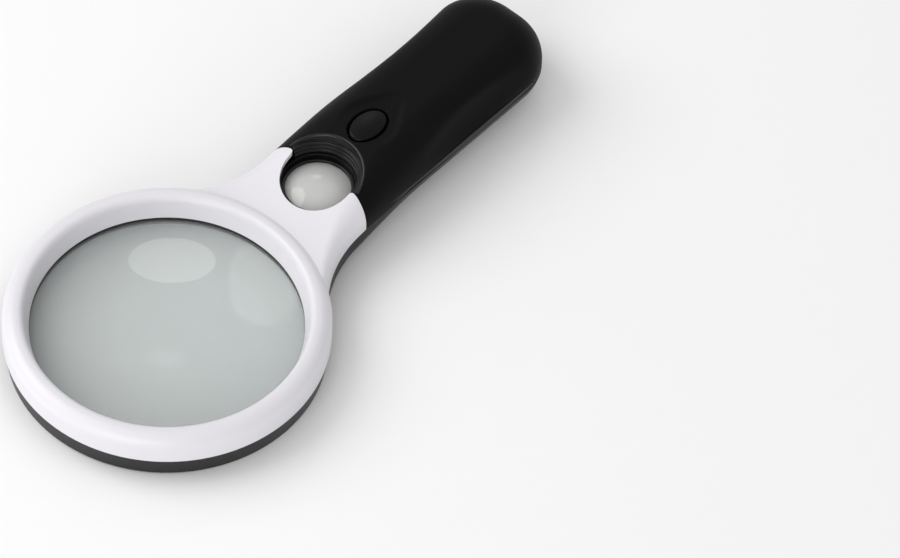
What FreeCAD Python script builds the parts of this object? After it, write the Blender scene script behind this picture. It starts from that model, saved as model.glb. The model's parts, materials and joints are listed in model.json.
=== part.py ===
import FreeCAD, Part
import math
import os

os.makedirs("parts", exist_ok=True)

# Hand magnifier with a large main lens, a small loupe in its neck and a lit handle.
# Millimetres, +Z up.  It lies on its back: z = 0 is the plane it rests on, the
# handle runs along +Y, and the origin is under the middle of its overall box.

Vec = FreeCAD.Vector

# ---- driving dimensions ------------------------------------------------------
OVERALL_LENGTH = 182.4
HEAD_RADIUS = 43.4
HEAD_FOOT_RADIUS = 42.5
HEAD_CREST_Z = 15.0
HEAD_SHOULDER_RADIUS = 3.8
HEAD_FOOT_BEVEL = 0.6
HEAD_PARTING_Z = 6.5

HANDLE_WIDTH = 33.6
HANDLE_THICKNESS = 23.0
HANDLE_EDGE_RADIUS = 11.0
HANDLE_CORNER_RADIUS = 14.5
HANDLE_PARTING_Z = 11.5
HANDLE_START = 35.0

NECK_WIDTH = 34.0
NECK_FLARE_RADIUS = 30.0
NECK_FLARE_BITE = 0.4
NECK_THICKNESS = 13.8
NECK_EDGE_RADIUS = 3.0
NECK_RISE_START = -13.0
NECK_SECTIONS = 13

PARTING_STEP_IN = 6.0
PARTING_DIP = 2.0

WALL = 1.6

LENS_DIAMETER = 75.0
LENS_FACE_RADIUS = 163.0
LENS_EDGE_THICKNESS = 1.5
LENS_SEAT_Z = 5.8
LENS_CLEARANCE = 0.1
LIP_COVER = 1.2
LIP_Z = 8.7
MOUTH_FLARE = 0.5
REAR_WALL = 1.5
FRONT_WALL = 2.5
GASKET_LAP = 0.2
GASKET_INSET = 0.15
TONGUE_WIDTH = 0.9
TONGUE_DEPTH = 1.5
TONGUE_ROOT = 2.0
TONGUE_END_GAP = 4.0
TONGUE_CLEARANCE = 0.25

LOUPE_FROM_HEAD = 58.7
LOUPE_LENS_RADIUS = 9.5
LOUPE_FACE_RADIUS = 15.5
LOUPE_EDGE_THICKNESS = 1.4
LOUPE_SEAT_Z = 11.1
LOUPE_SEAT_WIDTH = 0.8
LOUPE_CLEARANCE = 0.05
BARREL_WALL = 0.65
BARREL_LIP = 0.3
BARREL_TOP_Z = 15.4
BARREL_FLANGE_WIDTH = 1.8
BARREL_FLANGE_THICKNESS = 1.5
BARREL_HOLE_CLEARANCE = 0.1
LOUPE_RIM_COVER = 0.65
LOUPE_RIM_DEPTH = 0.9
LOUPE_RIM_THICKNESS = 0.4
LOUPE_RIM_BEVEL = 0.25
LOUPE_STEPS = ((0.35, 16.6), (0.7, 17.6), (1.3, 18.8))
COLLAR_LOW_Z = 15.0

ARM_SEAM_RADIUS = 61.5
SEAM_GAP = 0.1

BUTTON_FROM_HEAD = 78.2
BUTTON_LENGTH = 12.8
BUTTON_WIDTH = 8.8
BUTTON_DROP = 0.1
BUTTON_CROWN_RADIUS = 28.0
BUTTON_CLEARANCE = 0.3
BUTTON_FLANGE_WIDTH = 1.0
BUTTON_FLANGE_THICKNESS = 1.0
BUTTON_FLANGE_DROP = 3.4
BUTTON_TRAVEL = 1.0
RECESS_RADIUS = 7.8
RECESS_TAIL = 16.0
RECESS_DEPTH = 0.8
SCALLOP_TUBE_RADIUS = 16.0
SCALLOP_RING_RADIUS = 95.0
SCALLOP_X = 29.2
SCALLOP_RISE = 10.2
SCALLOP_FROM_HEAD = 104.0

CELL_DIAMETER = 10.3
CELL_LENGTH = 44.5
CELL_NUB_DIAMETER = 3.8
CELL_NUB_LENGTH = 1.0
CELL_GAP = 0.3
CELL_FLOOR_GAP = 0.2
CELL_FRONT_Y = 36.2
CONTACT_LENGTH = 1.2
CONTACT_THICKNESS = 0.4
CONTACT_HALF_WIDTH = 3.6
CONTACT_DROP = 3.0
CONTACT_RISE = 4.0
BATTERY_SPRING_RADII = (3.4, 2.0)
CONTACT_BUMP_RADII = (1.6, 1.0)

DOOR_HALF_WIDTH = 10.9
DOOR_FRONT_Y = 38.0
DOOR_RIB = 1.0
DOOR_TONGUE = 1.0
DOOR_TONGUE_RISE = 1.8
DOOR_TONGUE_THICKNESS = 1.0
DOOR_CLEARANCE = 0.15
DOOR_GRIP_COUNT = 4
DOOR_GRIP_PITCH = 2.0
DOOR_GRIP_START = 3.0
DOOR_GRIP_HALF_WIDTH = 6.0
DOOR_GRIP_DEPTH = 0.4
RAIL_WIDTH = 2.0
RAIL_RISE = 4.2

TRAY_WALL = 0.8
TRAY_ROOF_GAP = 0.5
TRAY_ROOF_THICKNESS = 1.0
TRAY_TONGUE_IN = 1.5
TRAY_TONGUE_GAP = 1.0

BOARD_HALF_WIDTH = 7.5
BOARD_THICKNESS = 1.2
BOARD_FRONT_Y = 23.5
BOARD_BACK_Y = 64.0
SWITCH_SIZE = 8.0
SWITCH_HEIGHT = 2.2
PLUNGER_DIAMETER = 3.6
PLUNGER_CLEARANCE = 0.1
INDUCTOR_PLACE = (-3.4, 45.0)
INDUCTOR_RADIUS = 2.6
INDUCTOR_COIL_RADIUS = 2.1
INDUCTOR_HEIGHT = 4.0
INDUCTOR_CHEEK = 0.8
CAPACITOR_PLACE = (-2.0, 54.0)
CAPACITOR_RADIUS = 2.5
CAPACITOR_HEIGHT = 5.2
CAPACITOR_BEVEL = 0.4
CHIP_OUTLINE = (1.0, 5.0, 43.0, 48.0)
CHIP_HEIGHT = 1.4
RESISTOR_OUTLINE = (2.0, 5.2, 52.0, 53.6)
RESISTOR_HEIGHT = 0.6
SPRING_RADIUS = 2.9
SPRING_WIRE = 0.3
SPRING_CONE = 0.4
SPRING_GAP = 0.05

LED_DIAMETER = 5.0
LED_FLANGE_DIAMETER = 5.8
LED_FLANGE_THICKNESS = 1.0
LED_CLEARANCE = 0.1
LED_TIP_Z = 0.5
LED_SPACING = 13.0
LED_FROM_HEAD = 43.4
LED_BOARD_Z = 9.4
LED_BOARD_LAP = 1.6
LED_BOARD_DEPTH = 5.2
LED_BOARD_THICKNESS = 1.0
LED_POST_RADIUS = 1.5
LED_POST_SPACING = 8.0

SCREW_DIAMETER = 2.0
SCREW_HEAD_DIAMETER = 4.0
SCREW_HEAD_THICKNESS = 1.4
SCREW_CLEARANCE = 0.2
SCREW_SLOT_HALF_LENGTH = 1.2
SCREW_SLOT_HALF_WIDTH = 0.3
SCREW_SLOT_DEPTH = 0.7
SCREW_TIP_GAP = 0.5
SCREW_BITE = 4.0
PILOT_CLEARANCE = 0.02
PILOT_DEPTH = 5.0
BOSS_RADIUS = 2.6
NECK_SCREW_X = 13.2
NECK_SCREW_FROM_HEAD = 49.0
NECK_SCREW_HEAD_Z = 0.4
NECK_BOSS_RISE = 1.5
HANDLE_SCREW_X = 10.6
HANDLE_SCREW_Y = 26.5
HANDLE_SCREW_HEAD_Z = 1.9
HANDLE_BOSS_DROP = 0.5

WIRE_RADIUS = 0.55
WIRE_GAP = 0.3
WIRE_BEND = 1.2
WIRE_START_X = 5.0
WIRE_LAP = 1.0
WIRE_LEAD = 1.4
WIRE_PASS_BACK = 4.0
WIRE_PASS_FRONT = 3.0
WIRE_END_X = 7.0
WIRE_END_RUN = 5.5

# ---- places that follow from them ---------------------------------------------
TIP_Y = OVERALL_LENGTH / 2
HEAD_Y = -OVERALL_LENGTH / 2 + HEAD_RADIUS
LOUPE_Y = HEAD_Y + LOUPE_FROM_HEAD
BUTTON_Y = HEAD_Y + BUTTON_FROM_HEAD
LED_Y = HEAD_Y + LED_FROM_HEAD
LENS_RADIUS = LENS_DIAMETER / 2
LENS_POCKET_RADIUS = LENS_RADIUS + LENS_CLEARANCE
LIP_RADIUS = LENS_RADIUS - LIP_COVER
MOUTH_RADIUS = LENS_RADIUS + MOUTH_FLARE
BARREL_BORE_RADIUS = LOUPE_LENS_RADIUS - LOUPE_SEAT_WIDTH
BARREL_RADIUS = LOUPE_LENS_RADIUS + LOUPE_CLEARANCE + BARREL_WALL
BARREL_HOLE_RADIUS = BARREL_RADIUS + BARREL_HOLE_CLEARANCE
LOUPE_RING_SEAT_Z = LOUPE_SEAT_Z + LOUPE_EDGE_THICKNESS + LOUPE_RIM_DEPTH
NECK_BOSS_SPLIT = HEAD_PARTING_Z + NECK_BOSS_RISE
HANDLE_BOSS_SPLIT = HANDLE_PARTING_Z - HANDLE_BOSS_DROP
BUTTON_TOP_Z = HANDLE_THICKNESS - BUTTON_DROP
BUTTON_FLANGE_TOP_Z = HANDLE_THICKNESS - BUTTON_FLANGE_DROP
BUTTON_BOTTOM_Z = BUTTON_FLANGE_TOP_Z - BUTTON_FLANGE_THICKNESS
CELL_X = (CELL_DIAMETER + CELL_GAP) / 2
CELL_Z = WALL + CELL_FLOOR_GAP + CELL_DIAMETER / 2
DOOR_TONGUE_Z = WALL + DOOR_TONGUE_RISE
RAIL_TOP_Z = WALL + RAIL_RISE
TRAY_ROOF_Z = CELL_Z + CELL_DIAMETER / 2 + TRAY_ROOF_GAP
BOARD_Z = TRAY_ROOF_Z + TRAY_ROOF_THICKNESS
BOARD_TOP_Z = BOARD_Z + BOARD_THICKNESS
SWITCH_TOP_Z = BOARD_TOP_Z + SWITCH_HEIGHT
CELL_BACK_Y = CELL_FRONT_Y + CELL_LENGTH
TRAY_FRONT_Y = CELL_FRONT_Y - CONTACT_LENGTH - CONTACT_THICKNESS
TRAY_BACK_Y = CELL_BACK_Y + CONTACT_LENGTH + CONTACT_THICKNESS
BIG = 300.0


# ---- small builders -----------------------------------------------------------
def block(x0, x1, y0, y1, z0, z1):
    return Part.makeBox(x1 - x0, y1 - y0, z1 - z0, Vec(x0, y0, z0))


def disc(radius, x, y, z0, z1):
    return Part.makeCylinder(radius, z1 - z0, Vec(x, y, z0))


def revolved(points, y):
    """Solid of revolution of a closed (radius, z) outline about the upright axis at (0, y)."""
    corners = [Vec(r, 0, z) for r, z in points]
    face = Part.Face(Part.makePolygon(corners + [corners[0]]))
    solid = face.revolve(Vec(0, 0, 0), Vec(0, 0, 1), 360)
    solid.translate(Vec(0, y, 0))
    return solid


def fused(shapes):
    return shapes[0].multiFuse(shapes[1:]).removeSplitter()


def save(name, shape):
    shape.exportStep("parts/" + name + ".step")


def smooth_step(t):
    t = min(max(t, 0.0), 1.0)
    return t * t * (3 - 2 * t)


def oval(length, width, x, y, z0, z1):
    """Upright prism whose outline is an ellipse, longer along Y."""
    ellipse = Part.Ellipse(Vec(0, 0, 0), length / 2, width / 2)
    edge = ellipse.toShape()
    edge.rotate(Vec(0, 0, 0), Vec(0, 0, 1), 90)
    prism = Part.Face(Part.Wire([edge])).extrude(Vec(0, 0, z1 - z0))
    prism.translate(Vec(x, y, z0))
    return prism


def bent_tube(points, radius, bend):
    """Round wire along straight runs joined by tangent arcs of one bend radius."""
    corners = [Vec(*p) for p in points]
    edges = []
    start = corners[0]
    for before, corner, after in zip(corners, corners[1:], corners[2:]):
        come = (corner - before).normalize()
        leave = (after - corner).normalize()
        turn = come.getAngle(leave)
        if turn < 0.01:
            continue
        cut = bend * math.tan(turn / 2)
        first = corner - come * cut
        last = corner + leave * cut
        inward = (leave - come).normalize()
        middle = corner + inward * (bend / math.cos(turn / 2) - bend)
        edges.append(Part.LineSegment(start, first).toShape())
        edges.append(Part.Arc(first, middle, last).toShape())
        start = last
    edges.append(Part.LineSegment(start, corners[-1]).toShape())
    path = Part.Wire(edges)
    along = (corners[1] - corners[0]).normalize()
    ring = Part.Wire([Part.makeCircle(radius, corners[0], along)])
    return path.makePipeShell([ring], True, True)


# ---- the outer form, and the same form drawn in by a wall -----------------------
def head_form(inset):
    """The round head as a full disc, with its tapered foot and rounded shoulder."""
    foot = HEAD_FOOT_RADIUS - inset
    side = HEAD_RADIUS - inset
    top = HEAD_CREST_Z - inset
    bend = HEAD_SHOULDER_RADIUS - inset
    shoulder = Vec(side - bend, 0, top - bend)
    slant = bend * math.sqrt(0.5)
    middle = shoulder + Vec(slant, 0, slant)
    edges = [
        Part.LineSegment(Vec(0, 0, inset), Vec(foot - HEAD_FOOT_BEVEL, 0, inset)),
        Part.LineSegment(Vec(foot - HEAD_FOOT_BEVEL, 0, inset), Vec(foot, 0, inset + HEAD_FOOT_BEVEL)),
        Part.LineSegment(Vec(foot, 0, inset + HEAD_FOOT_BEVEL), Vec(side, 0, HEAD_PARTING_Z)),
        Part.LineSegment(Vec(side, 0, HEAD_PARTING_Z), Vec(side, 0, top - bend)),
        Part.Arc(Vec(side, 0, top - bend), middle, Vec(side - bend, 0, top)),
        Part.LineSegment(Vec(side - bend, 0, top), Vec(0, 0, top)),
        Part.LineSegment(Vec(0, 0, top), Vec(0, 0, inset)),
    ]
    face = Part.Face(Part.Wire([edge.toShape() for edge in edges]))
    disc_solid = face.revolve(Vec(0, 0, 0), Vec(0, 0, 1), 360)
    disc_solid.translate(Vec(0, HEAD_Y, 0))
    return disc_solid


def flare_centre():
    """Centre of the concave arc that blends the neck's side into the round head."""
    x = NECK_WIDTH / 2 + NECK_FLARE_RADIUS
    reach = HEAD_RADIUS + NECK_FLARE_RADIUS - NECK_FLARE_BITE
    return x, HEAD_Y + math.sqrt(reach * reach - x * x)


def neck_half_width(y):
    x, centre_y = flare_centre()
    if y < centre_y:
        return x - math.sqrt(NECK_FLARE_RADIUS ** 2 - (y - centre_y) ** 2)
    blend = smooth_step((y - centre_y) / (HANDLE_START - centre_y))
    return NECK_WIDTH / 2 + (HANDLE_WIDTH - NECK_WIDTH) / 2 * blend


def neck_rise(y):
    return smooth_step((y - NECK_RISE_START) / (HANDLE_START - NECK_RISE_START))


def neck_top(y):
    return NECK_THICKNESS + (HANDLE_THICKNESS - NECK_THICKNESS) * neck_rise(y)


def neck_edge_radius(y):
    return NECK_EDGE_RADIUS + (HANDLE_EDGE_RADIUS - NECK_EDGE_RADIUS) * neck_rise(y)


def rounded_section(y, half_width, bottom, top, radius):
    """Rounded rectangle across the handle, at one place along it."""
    side = half_width - radius
    low = bottom + radius
    high = top - radius
    slant = radius * math.sqrt(0.5)
    edges = []
    corners = ((side, low, 1, -1), (side, high, 1, 1), (-side, high, -1, 1), (-side, low, -1, -1))
    for x, z, sx, sz in corners:
        upright = Vec(x + sx * radius, y, z)
        level = Vec(x, y, z + sz * radius)
        middle = Vec(x + sx * slant, y, z + sz * slant)
        ends = (level, upright) if sx * sz < 0 else (upright, level)
        if edges:
            edges.append(Part.LineSegment(edges[-1].EndPoint, ends[0]))
        edges.append(Part.Arc(ends[0], middle, ends[1]))
    edges.append(Part.LineSegment(edges[-1].EndPoint, edges[0].StartPoint))
    return Part.Wire([edge.toShape() for edge in edges])


def neck_form(inset):
    """Neck and front shoulder of the handle, lofted through rounded sections."""
    _, centre_y = flare_centre()
    tangent_y = HEAD_Y + (centre_y - HEAD_Y) * HEAD_RADIUS / (HEAD_RADIUS + NECK_FLARE_RADIUS)
    wires = []
    for step in range(NECK_SECTIONS):
        y = tangent_y + (HANDLE_START - tangent_y) * step / (NECK_SECTIONS - 1)
        half_width = neck_half_width(y) - inset
        radius = neck_edge_radius(y) - inset
        wires.append(rounded_section(y, half_width, inset, neck_top(y) - inset, radius))
    return Part.makeLoft(wires, True, False)


def handle_form(inset):
    """Straight handle: a plan with a rounded end, its long edges rounded over."""
    half = HANDLE_WIDTH / 2 - inset
    corner = HANDLE_CORNER_RADIUS - inset
    tip = TIP_Y - inset
    slant = corner * math.sqrt(0.5)
    x = half - corner
    y = tip - corner
    edges = [
        Part.LineSegment(Vec(half, HANDLE_START, 0), Vec(half, y, 0)),
        Part.Arc(Vec(half, y, 0), Vec(x + slant, y + slant, 0), Vec(x, tip, 0)),
        Part.LineSegment(Vec(x, tip, 0), Vec(-x, tip, 0)),
        Part.Arc(Vec(-x, tip, 0), Vec(-x - slant, y + slant, 0), Vec(-half, y, 0)),
        Part.LineSegment(Vec(-half, y, 0), Vec(-half, HANDLE_START, 0)),
        Part.LineSegment(Vec(-half, HANDLE_START, 0), Vec(half, HANDLE_START, 0)),
    ]
    face = Part.Face(Part.Wire([edge.toShape() for edge in edges]))
    height = HANDLE_THICKNESS - 2 * inset
    solid = face.extrude(Vec(0, 0, height))
    rims = []
    for edge in solid.Edges:
        box = edge.BoundBox
        level = box.ZLength < 0.01
        front = box.YLength < 0.01 and abs(box.YMin - HANDLE_START) < 0.01
        if level and not front:
            rims.append(edge)
    solid = solid.makeFillet(HANDLE_EDGE_RADIUS - inset, rims)
    solid.translate(Vec(0, 0, inset))
    return solid


def outer_form(inset):
    return fused([head_form(inset), neck_form(inset), handle_form(inset)])


def below_parting():
    """Everything under the joint between the upper and lower mouldings."""
    outline = [
        (-BIG, HEAD_PARTING_Z),
        (HEAD_Y + HEAD_RADIUS - PARTING_STEP_IN, HEAD_PARTING_Z),
        (LOUPE_Y, HANDLE_PARTING_Z - PARTING_DIP),
        (LOUPE_Y + BARREL_RADIUS, HANDLE_PARTING_Z),
        (BIG, HANDLE_PARTING_Z),
        (BIG, -BIG),
        (-BIG, -BIG),
    ]
    corners = [Vec(-BIG / 2, y, z) for y, z in outline]
    face = Part.Face(Part.makePolygon(corners + [corners[0]]))
    return face.extrude(Vec(BIG, 0, 0))


def scallops(grow):
    """The two shallow finger hollows in the handle's upper sides, as the tubes of two large rings."""
    y = HEAD_Y + SCALLOP_FROM_HEAD
    z = HANDLE_PARTING_Z + SCALLOP_RISE
    sides = []
    for side in (1, -1):
        centre = Vec(side * (SCALLOP_X + SCALLOP_RING_RADIUS), y, z)
        sides.append(Part.makeTorus(SCALLOP_RING_RADIUS, SCALLOP_TUBE_RADIUS + grow, centre, Vec(0, 0, 1)))
    return fused(sides)


def arm_seam(grow):
    """Everything on the head's side of the arched seam between the bezel's arms and the handle."""
    return disc(ARM_SEAM_RADIUS + grow, 0, HEAD_Y, -BIG, BIG)


# ---- the three mouldings --------------------------------------------------------
def screw_places():
    neck_y = HEAD_Y + NECK_SCREW_FROM_HEAD
    neck = [(side * NECK_SCREW_X, neck_y) for side in (1, -1)]
    handle = [(side * HANDLE_SCREW_X, HANDLE_SCREW_Y) for side in (1, -1)]
    return neck, handle


def make_rear_housing(form, hollow, lens):
    lower = form.common(below_parting())
    cavity = hollow.cut(disc(LENS_RADIUS + REAR_WALL, 0, HEAD_Y, -BIG, BIG))
    housing = lower.cut(cavity)
    neck, handle = screw_places()
    adds = []
    cuts = []
    groups = (
        (neck, NECK_BOSS_SPLIT, NECK_SCREW_HEAD_Z),
        (handle, HANDLE_BOSS_SPLIT, HANDLE_SCREW_HEAD_Z),
    )
    for places, split, head_z in groups:
        seat = head_z + SCREW_HEAD_THICKNESS
        for x, y in places:
            adds.append(disc(BOSS_RADIUS, x, y, 0, split).common(form))
            cuts.append(disc(SCREW_HEAD_DIAMETER / 2 + SCREW_CLEARANCE, x, y, -1, seat))
            cuts.append(disc(SCREW_DIAMETER / 2 + SCREW_CLEARANCE, x, y, -1, split + 1))
    for side in (1, -1):
        x = side * LED_POST_SPACING
        adds.append(disc(LED_POST_RADIUS, x, LED_Y, WALL / 2, LED_BOARD_Z))
        inner = side * (DOOR_HALF_WIDTH + DOOR_CLEARANCE)
        outer = inner + side * RAIL_WIDTH
        rail = block(min(inner, outer), max(inner, outer), DOOR_FRONT_Y, TRAY_BACK_Y, 0, RAIL_TOP_Z)
        adds.append(rail.common(form))
    housing = fused([housing] + adds)
    mouth = [
        (0, -1), (MOUTH_RADIUS, -1), (MOUTH_RADIUS, 0), (LIP_RADIUS, LENS_SEAT_Z - 1),
        (LIP_RADIUS, LENS_SEAT_Z), (LENS_POCKET_RADIUS, LENS_SEAT_Z),
        (LENS_POCKET_RADIUS, HEAD_PARTING_Z + 1), (0, HEAD_PARTING_Z + 1),
    ]
    cuts.append(revolved(mouth, HEAD_Y))
    cuts.append(disc(BARREL_BORE_RADIUS, 0, LOUPE_Y, -1, WALL + 1))
    for x in (-LED_SPACING, 0, LED_SPACING):
        cuts.append(disc(LED_DIAMETER / 2 + LED_CLEARANCE, x, LED_Y, -1, WALL + 1))
    cuts.append(door_space(DOOR_CLEARANCE))
    return housing.cut(fused(cuts)).cut(lens)


def door_space(grow):
    """The opening that the battery door fills, grown by its running clearance."""
    half = DOOR_HALF_WIDTH + grow
    top = DOOR_TONGUE_Z + DOOR_TONGUE_THICKNESS + grow
    panel = block(-half, half, DOOR_FRONT_Y - grow, BIG, -1, top)
    tongue_half = DOOR_HALF_WIDTH + DOOR_TONGUE + grow
    tongue = block(-tongue_half, tongue_half, DOOR_FRONT_Y - grow, BIG, DOOR_TONGUE_Z - grow, top)
    return panel.fuse(tongue)


def make_battery_door(form, hollow):
    half = DOOR_HALF_WIDTH - DOOR_RIB
    inside = hollow.common(block(-half, half, -BIG, BIG, -BIG, BIG))
    grips = []
    for step in range(DOOR_GRIP_COUNT):
        y = DOOR_FRONT_Y + DOOR_GRIP_START + step * DOOR_GRIP_PITCH
        groove = (-DOOR_GRIP_HALF_WIDTH, DOOR_GRIP_HALF_WIDTH, y, y + DOOR_GRIP_PITCH / 2)
        grips.append(block(*groove, -1, DOOR_GRIP_DEPTH))
    return door_space(0).common(form).cut(inside).cut(fused(grips))


def make_front_bezel(form, hollow):
    upper = form.cut(below_parting()).common(arm_seam(0))
    cavity = hollow.cut(disc(LENS_RADIUS + FRONT_WALL, 0, HEAD_Y, -BIG, BIG))
    bezel = upper.cut(cavity)
    adds = []
    cuts = []
    neck, _ = screw_places()
    for x, y in neck:
        adds.append(disc(BOSS_RADIUS, x, y, NECK_BOSS_SPLIT, HEAD_CREST_Z).common(form))
        cuts.append(disc(SCREW_DIAMETER / 2 + PILOT_CLEARANCE, x, y, 0, NECK_THICKNESS - WALL))
    taper = (HEAD_RADIUS - HEAD_FOOT_RADIUS) / (HEAD_PARTING_Z - HEAD_FOOT_BEVEL - WALL)
    outer = HEAD_RADIUS - WALL - TONGUE_CLEARANCE - taper * TONGUE_DEPTH
    inner = outer - TONGUE_WIDTH
    low = HEAD_PARTING_Z - TONGUE_DEPTH
    high = HEAD_PARTING_Z + TONGUE_ROOT
    root = disc(HEAD_RADIUS - WALL / 2, 0, HEAD_Y, HEAD_PARTING_Z, high)
    ring = disc(outer, 0, HEAD_Y, low, high).fuse(root).cut(disc(inner, 0, HEAD_Y, low, high))
    _, centre_y = flare_centre()
    neck_side = (centre_y - HEAD_Y) / (HEAD_RADIUS + NECK_FLARE_RADIUS)
    end_y = HEAD_Y + outer * neck_side - TONGUE_END_GAP
    adds.append(ring.cut(block(-BIG, BIG, end_y, BIG, -BIG, BIG)))
    bezel = fused([bezel] + adds)
    mouth = [
        (0, 0), (LENS_POCKET_RADIUS, 0), (LENS_POCKET_RADIUS, LIP_Z), (LIP_RADIUS, LIP_Z),
        (MOUTH_RADIUS, HEAD_CREST_Z), (MOUTH_RADIUS, HEAD_CREST_Z + 5), (0, HEAD_CREST_Z + 5),
    ]
    cuts.append(revolved(mouth, HEAD_Y))
    cuts.append(disc(BARREL_HOLE_RADIUS, 0, LOUPE_Y, 0, BIG))
    return bezel.cut(fused(cuts))


def loupe_steps():
    """Stepped recess in the handle's shoulder, falling in rings to the loupe."""
    steps = [disc(BARREL_HOLE_RADIUS, 0, LOUPE_Y, 0, BIG)]
    for wider, z in LOUPE_STEPS:
        steps.append(disc(BARREL_HOLE_RADIUS + wider, 0, LOUPE_Y, z, BIG))
    return fused(steps)


def teardrop():
    """Shallow recess round the button, drawn out to a point towards the handle's end."""
    tip_y = BUTTON_Y + RECESS_TAIL
    reach = tip_y - BUTTON_Y
    angle = math.acos(RECESS_RADIUS / reach)
    touch = Vec(RECESS_RADIUS * math.sin(angle), BUTTON_Y + RECESS_RADIUS * math.cos(angle), 0)
    mirror = Vec(-touch.x, touch.y, 0)
    tip = Vec(0, tip_y, 0)
    edges = [
        Part.Arc(touch, Vec(0, BUTTON_Y - RECESS_RADIUS, 0), mirror),
        Part.LineSegment(mirror, tip),
        Part.LineSegment(tip, touch),
    ]
    face = Part.Face(Part.Wire([edge.toShape() for edge in edges]))
    solid = face.extrude(Vec(0, 0, BIG))
    solid.translate(Vec(0, 0, HANDLE_THICKNESS - RECESS_DEPTH))
    return solid


def make_top_cover(form, hollow):
    upper = form.cut(below_parting()).cut(arm_seam(SEAM_GAP)).cut(scallops(0))
    cover = upper.cut(hollow.cut(scallops(WALL)))
    _, handle = screw_places()
    boss_top = HANDLE_THICKNESS - WALL / 2
    adds = []
    cuts = [teardrop(), loupe_steps()]
    for x, y in handle:
        adds.append(disc(BOSS_RADIUS, x, y, HANDLE_BOSS_SPLIT, boss_top).common(form))
        cuts.append(disc(SCREW_DIAMETER / 2 + PILOT_CLEARANCE, x, y, 0, HANDLE_BOSS_SPLIT + PILOT_DEPTH))
    collar_radius = BARREL_HOLE_RADIUS + LOUPE_STEPS[-1][0] + WALL
    collar = disc(collar_radius, 0, LOUPE_Y, COLLAR_LOW_Z, BIG).common(form)
    adds.append(collar.cut(arm_seam(SEAM_GAP)))
    length = BUTTON_LENGTH + 2 * BUTTON_CLEARANCE
    width = BUTTON_WIDTH + 2 * BUTTON_CLEARANCE
    guide_low = BUTTON_FLANGE_TOP_Z + BUTTON_CLEARANCE
    guide = oval(length + 2 * WALL, width + 2 * WALL, 0, BUTTON_Y, guide_low, HANDLE_THICKNESS)
    adds.append(guide.common(form))
    cuts.append(oval(length, width, 0, BUTTON_Y, 0, BIG))
    swell = 2 * BUTTON_FLANGE_WIDTH
    cuts.append(oval(length + swell, width + swell, 0, BUTTON_Y, 0, guide_low))
    cover = fused([cover] + adds)
    return cover.cut(fused(cuts))


# ---- optics ---------------------------------------------------------------------
def dome(radius, rim_radius, y, rim_z, side):
    """Solid between a spherical face and the plane of its rim; side +1 bulges up."""
    rise = radius - math.sqrt(radius ** 2 - rim_radius ** 2)
    ball = Part.makeSphere(radius, Vec(0, y, rim_z + side * (rise - radius)))
    slab = disc(rim_radius, 0, y, rim_z, rim_z + BIG)
    if side < 0:
        slab = disc(rim_radius, 0, y, rim_z - BIG, rim_z)
    return ball.common(slab)


def biconvex(rim_radius, face_radius, edge, y, seat_z):
    body = disc(rim_radius, 0, y, seat_z, seat_z + edge)
    upper = dome(face_radius, rim_radius, y, seat_z + edge, 1)
    lower = dome(face_radius, rim_radius, y, seat_z, -1)
    return fused([body, upper, lower])


def make_main_lens():
    return biconvex(LENS_RADIUS, LENS_FACE_RADIUS, LENS_EDGE_THICKNESS, HEAD_Y, LENS_SEAT_Z)


def make_lens_gasket(lens):
    low = LENS_SEAT_Z + LENS_EDGE_THICKNESS - GASKET_LAP
    outer = disc(LENS_RADIUS, 0, HEAD_Y, low, LIP_Z)
    ring = outer.cut(disc(LIP_RADIUS + GASKET_INSET, 0, HEAD_Y, 0, BIG))
    return ring.cut(lens)


def make_loupe_barrel(hollow, lens):
    """Tube that holds the loupe, on a flange shaped to the floor of the neck."""
    pocket = LOUPE_LENS_RADIUS + LOUPE_CLEARANCE
    lip = BARREL_RADIUS - BARREL_LIP
    outline = [
        (BARREL_BORE_RADIUS, WALL), (BARREL_RADIUS, WALL), (BARREL_RADIUS, BARREL_TOP_Z),
        (lip, BARREL_TOP_Z), (lip, LOUPE_RING_SEAT_Z), (pocket, LOUPE_RING_SEAT_Z),
        (pocket, LOUPE_SEAT_Z), (BARREL_BORE_RADIUS, LOUPE_SEAT_Z),
    ]
    flange_radius = BARREL_RADIUS + BARREL_FLANGE_WIDTH
    flange = disc(flange_radius, 0, LOUPE_Y, WALL, WALL + BARREL_FLANGE_THICKNESS).common(hollow)
    flange = flange.cut(disc(BARREL_BORE_RADIUS, 0, LOUPE_Y, 0, BIG))
    return fused([revolved(outline, LOUPE_Y), flange]).cut(lens)


def make_loupe_lens():
    return biconvex(LOUPE_LENS_RADIUS, LOUPE_FACE_RADIUS, LOUPE_EDGE_THICKNESS, LOUPE_Y, LOUPE_SEAT_Z)


def make_loupe_ring(lens):
    """Ring that holds the loupe down, with a flange on the barrel's shoulder."""
    rim = LOUPE_LENS_RADIUS - LOUPE_RIM_COVER
    flange = BARREL_RADIUS - BARREL_LIP - LOUPE_CLEARANCE
    high = LOUPE_RING_SEAT_Z + LOUPE_RIM_THICKNESS
    low = LOUPE_SEAT_Z + LOUPE_EDGE_THICKNESS
    outline = [
        (rim, low), (LOUPE_LENS_RADIUS, low), (LOUPE_LENS_RADIUS, LOUPE_RING_SEAT_Z),
        (flange, LOUPE_RING_SEAT_Z), (flange, high),
        (rim + LOUPE_RIM_BEVEL, high), (rim, high - LOUPE_RIM_BEVEL),
    ]
    return revolved(outline, LOUPE_Y).cut(lens)


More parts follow.
